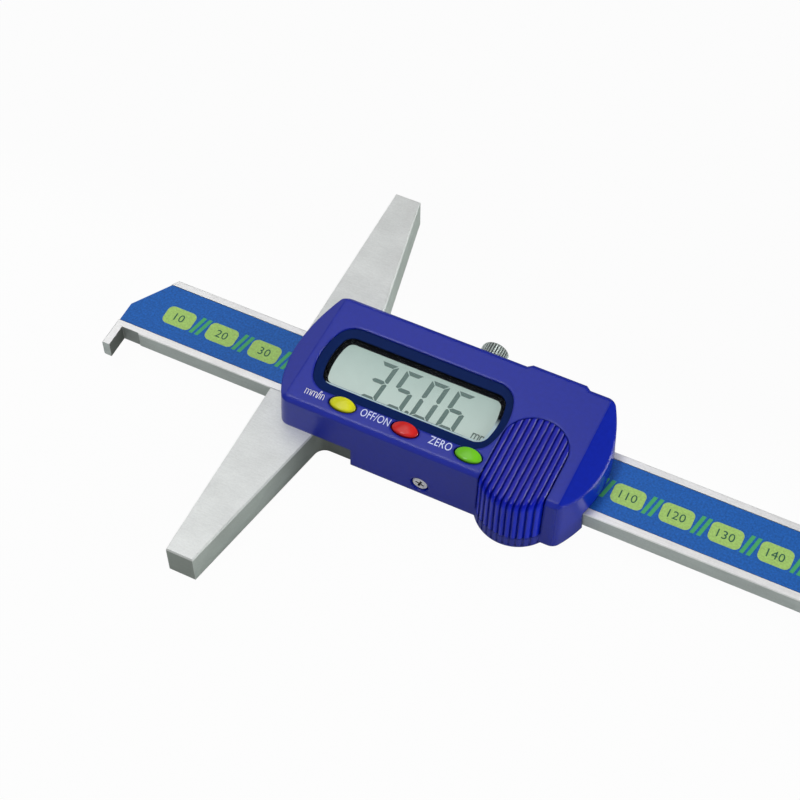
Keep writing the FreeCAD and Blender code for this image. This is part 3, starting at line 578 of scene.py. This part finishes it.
# Words by the buttons
word_low = -11.4
word_high = -9.55
for name, text, middle, width in [("power_word", "OFF/ON", 24.9, 6.2), ("zero_word", "ZERO", 38.85, 4.7)]:
    mesh = words(name, text, middle, word_low, word_high, housing_top, width)
    add_piece(name, mesh, print_white, "slider")
unit_word = letters("unit_word", "mm/in", left=9.8, low=word_low + 0.1, wide=1.27, high=1.62, thick=0.115,
                    lean=-0.05, z=housing_top)
add_piece("unit_word", unit_word, print_bright, "slider")


# Marks on the beam's label, repeated at the scale's pitch, in millimetres

number_pitch = 10.0
number_shift = -0.4
number_height = 1.9
row_y = -0.6
tab_length = 6.6
tab_width = 4.6
tab_roundness = 1.3
slash_length = 0.8
slash_lean = 1.1
slash_pitch = 1.35

label_end = box_of("scale_label")[1].x
label_top = box_of("scale_label")[1].z
first_number_x = hook_face + number_pitch + number_shift
number_count = int((label_end - first_number_x - tab_length / 2) / number_pitch) + 1


class MarkRow:
    """Geometry nodes that repeat one flat printed mark along the beam, with named sizes in metres."""

    def __init__(self, name, start, length, count, **own_sizes):
        sizes = {"Start": start, "Across": row_y, "Level": label_top, "Length": length, "Width": tab_width,
                 "Pitch": number_pitch, "Thickness": print_height, **own_sizes}
        self.sizes = {key: size * MM for key, size in sizes.items()} | {"Count": count}
        self.tree = bpy.data.node_groups.new(name, "GeometryNodeTree")
        self.tree.interface.new_socket("Geometry", in_out="OUTPUT", socket_type="NodeSocketGeometry")
        for key, value in self.sizes.items():
            kind = "NodeSocketInt" if isinstance(value, int) else "NodeSocketFloat"
            self.tree.interface.new_socket(key, in_out="INPUT", socket_type=kind)
        self.entry = self.tree.nodes.new("NodeGroupInput")

    def size(self, key):
        return self.entry.outputs[key]

    def node(self, kind, settings=None, inputs=None):
        return add_node(self.tree, kind, settings, inputs)

    def vector(self, x=0.0, y=0.0, z=0.0):
        return self.node("ShaderNodeCombineXYZ", inputs={0: x, 1: y, 2: z})

    def row(self, outline, material):
        """Fills and thickens an outline, repeats it along X, and returns the row as a plain mesh."""
        flat = self.node("GeometryNodeFillCurve", {"mode": "NGONS"}, {"Curve": outline})
        lift = self.vector(z=self.size("Thickness"))
        raised = self.node("GeometryNodeExtrudeMesh", inputs={
            "Mesh": flat, "Offset": lift, "Offset Scale": 1.0, "Individual": False})
        first = self.vector(self.size("Start"), self.size("Across"), self.size("Level"))
        step = self.vector(x=self.size("Pitch"))
        places = self.node("GeometryNodeMeshLine", inputs={
            "Count": self.size("Count"), "Start Location": first, "Offset": step})
        copies = self.node("GeometryNodeInstanceOnPoints", inputs={"Points": places, "Instance": raised})
        real = self.node("GeometryNodeRealizeInstances", inputs={0: copies})
        painted = self.node("GeometryNodeSetMaterial", inputs={"Geometry": real, "Material": material})
        leave = self.tree.nodes.new("NodeGroupOutput")
        self.tree.links.new(painted, leave.inputs[0])
        return self.grown()

    def grown(self):
        """Runs the tree on an empty mesh, with the sizes set by their sockets' identifiers."""
        holder = bpy.data.objects.new(self.tree.name, bpy.data.meshes.new(self.tree.name))
        modifier = holder.modifiers.new("growth", "NODES")
        modifier.node_group = self.tree
        for item in self.tree.interface.items_tree:
            if item.in_out == "INPUT":
                modifier[item.identifier] = self.sizes[item.name]
        return plain_mesh(holder)


def tab_row():
    """Row of flat tabs with rounded corners, one under each number."""
    marks = MarkRow("label_tabs", first_number_x, tab_length, number_count, Roundness=tab_roundness)
    sides = {"Width": marks.size("Length"), "Height": marks.size("Width")}
    outline = marks.node("GeometryNodeCurvePrimitiveQuadrilateral", inputs=sides)
    rounded = marks.node("GeometryNodeFilletCurve", {"mode": "POLY"},
                         {"Curve": outline, "Count": 8, "Radius": marks.size("Roundness")})
    return marks.row(rounded, print_light)


def slash_row(start):
    """Row of flat leaning bars, one between each two tabs."""
    marks = MarkRow("label_slashes", start, slash_length, number_count - 1, Lean=slash_lean)
    sides = {"Width": marks.size("Length"), "Height": marks.size("Width"), "Offset": marks.size("Lean")}
    outline = marks.node("GeometryNodeCurvePrimitiveQuadrilateral", {"mode": "PARALLELOGRAM"}, sides)
    return marks.row(outline, print_deep)


add_piece("label_tabs", tab_row(), print_light, "beam")

first_gap_x = first_number_x + number_pitch / 2
slashes = [slash_row(first_gap_x + side * slash_pitch / 2) for side in (-1, 1)]
add_piece("label_slashes", joined("label_slashes", slashes), print_deep, "beam")

numbers = []
for i in range(number_count):
    middle = first_number_x + i * number_pitch
    numbers.append(words("label_numbers", str(10 * (i + 1)), middle, row_y - number_height / 2,
                         row_y + number_height / 2, label_top + print_height))
add_piece("label_numbers", joined("label_numbers", numbers), print_grey, "beam")


# Floor, light and camera

floor_reach = 3.0
floor_drop = 0.00002
light_target = Vector((0.03, 0, 0))
camera_place = Vector((116.21, -187.28, 303.16)) * MM
camera_target = Vector((24.79, 0.635, 7.2)) * MM
camera_lens = 81.2
film_width = 36.0


def floor():
    """Wide white floor that keeps a faint shadow, darker behind the gauge where only reflections show it."""
    look = Look("floor_white")
    front = look.between(look.place("Y"), 14.0, 35.0, 1.0, 0.25)
    camera_ray = look.node("ShaderNodeLightPath", output="Is Camera Ray")
    glossy_ray = look.node("ShaderNodeLightPath", output="Is Glossy Ray")
    dull = look.node("ShaderNodeBsdfDiffuse", inputs={"Color": look.scaled((0.42, 0.43, 0.42), front)})
    white = look.node("ShaderNodeEmission", inputs={"Color": (1, 1, 1), "Strength": 1.0})
    white_share = camera_ray * 0.97 + glossy_ray * front * 0.12
    blend = look.node("ShaderNodeMixShader", inputs={0: white_share, 1: dull, 2: white})
    look.node("ShaderNodeOutputMaterial", inputs={"Surface": blend})
    mesh = bpy.data.meshes.new("floor")
    corners = [(x * floor_reach, y * floor_reach, 0) for x, y in ((-1, -1), (1, -1), (1, 1), (-1, 1))]
    mesh.from_pydata(corners, [], [(0, 1, 2, 3)])
    mesh.materials.append(look.material)
    piece = bpy.data.objects.new("floor", mesh)
    piece.location = (0, 0, cad_box[0].z - floor_drop)
    bpy.context.scene.collection.objects.link(piece)


def sky():
    """Dim surround with a lighter horizon in front, white behind the gauge for the camera."""
    look = Look("surround", bpy.data.worlds.new("surround"))
    way = look.node("ShaderNodeTexCoord")
    away = look.node("ShaderNodeSeparateXYZ", inputs={0: way}, output="Y")
    height = look.node("ShaderNodeSeparateXYZ", inputs={0: way}, output="Z")
    glow = look.between(height, 0.22, 0.45, 0.35, 0.0) * look.between(away, 0.3, 0.8, 1.0, 0.0)
    dim = look.node("ShaderNodeBackground", inputs={"Color": (1, 1, 1), "Strength": 0.09 + glow})
    white = look.node("ShaderNodeBackground", inputs={"Color": (1, 1, 1), "Strength": 1.0})
    camera_ray = look.node("ShaderNodeLightPath", output="Is Camera Ray")
    blend = look.node("ShaderNodeMixShader", inputs={0: camera_ray, 1: dim, 2: white})
    look.node("ShaderNodeOutputWorld", inputs={"Surface": blend})
    bpy.context.scene.world = look.material


def facing_turn(way):
    """Turn that points a lamp or the camera along a way."""
    return way.to_track_quat("-Z", "Y")


def lamp(name, direction, distance, size, power, mirrored=True):
    """Square softbox that faces the gauge from a direction: sizes in metres, power in watts."""
    data = bpy.data.lights.new(name, "AREA")
    data.shape = "SQUARE"
    data.size = size
    data.energy = power
    box = bpy.data.objects.new(name, data)
    bpy.context.scene.collection.objects.link(box)
    way = Vector(direction).normalized()
    box.location = light_target + way * distance
    box.rotation_mode = "QUATERNION"
    box.rotation_quaternion = facing_turn(-way)
    box.visible_glossy = mirrored


def camera():
    """Camera at the photograph's place."""
    data = bpy.data.cameras.new("camera")
    data.sensor_width = film_width
    data.lens = camera_lens
    data.clip_start = 0.01
    data.clip_end = 20.0
    view = bpy.data.objects.new("camera", data)
    bpy.context.scene.collection.objects.link(view)
    view.location = camera_place
    view.rotation_mode = "QUATERNION"
    view.rotation_quaternion = facing_turn(camera_target - camera_place)
    bpy.context.scene.camera = view


floor()
sky()
lamp("softbox_above", (-0.25, 0.25, 0.93), 1.0, 0.75, 1.95)
lamp("softbox_left", (-0.84, 0.5, 0.25), 1.2, 0.8, 0.85)
lamp("strip_top", (-0.25, -0.18, 0.95), 1.0, 0.26, 3.2)
lamp("strip_right", (0.85, 0.52, 0.10), 1.2, 0.3, 5.0)
lamp("edge_right", (0.90, 0.20, 0.38), 1.2, 0.2, 1.2)
lamp("softbox_near", (-0.25, -0.82, 0.52), 1.2, 0.6, 0.5)
lamp("key", (-0.15, 0.45, 0.88), 1.2, 0.8, 2.2, mirrored=False)
lamp("fill", (0.3, -0.85, 0.45), 1.2, 0.8, 1.3, mirrored=False)
lamp("side", (1.0, -0.1, 0.15), 1.2, 0.8, 7.2, mirrored=False)
camera()
bpy.context.scene.view_settings.view_transform = "Standard"
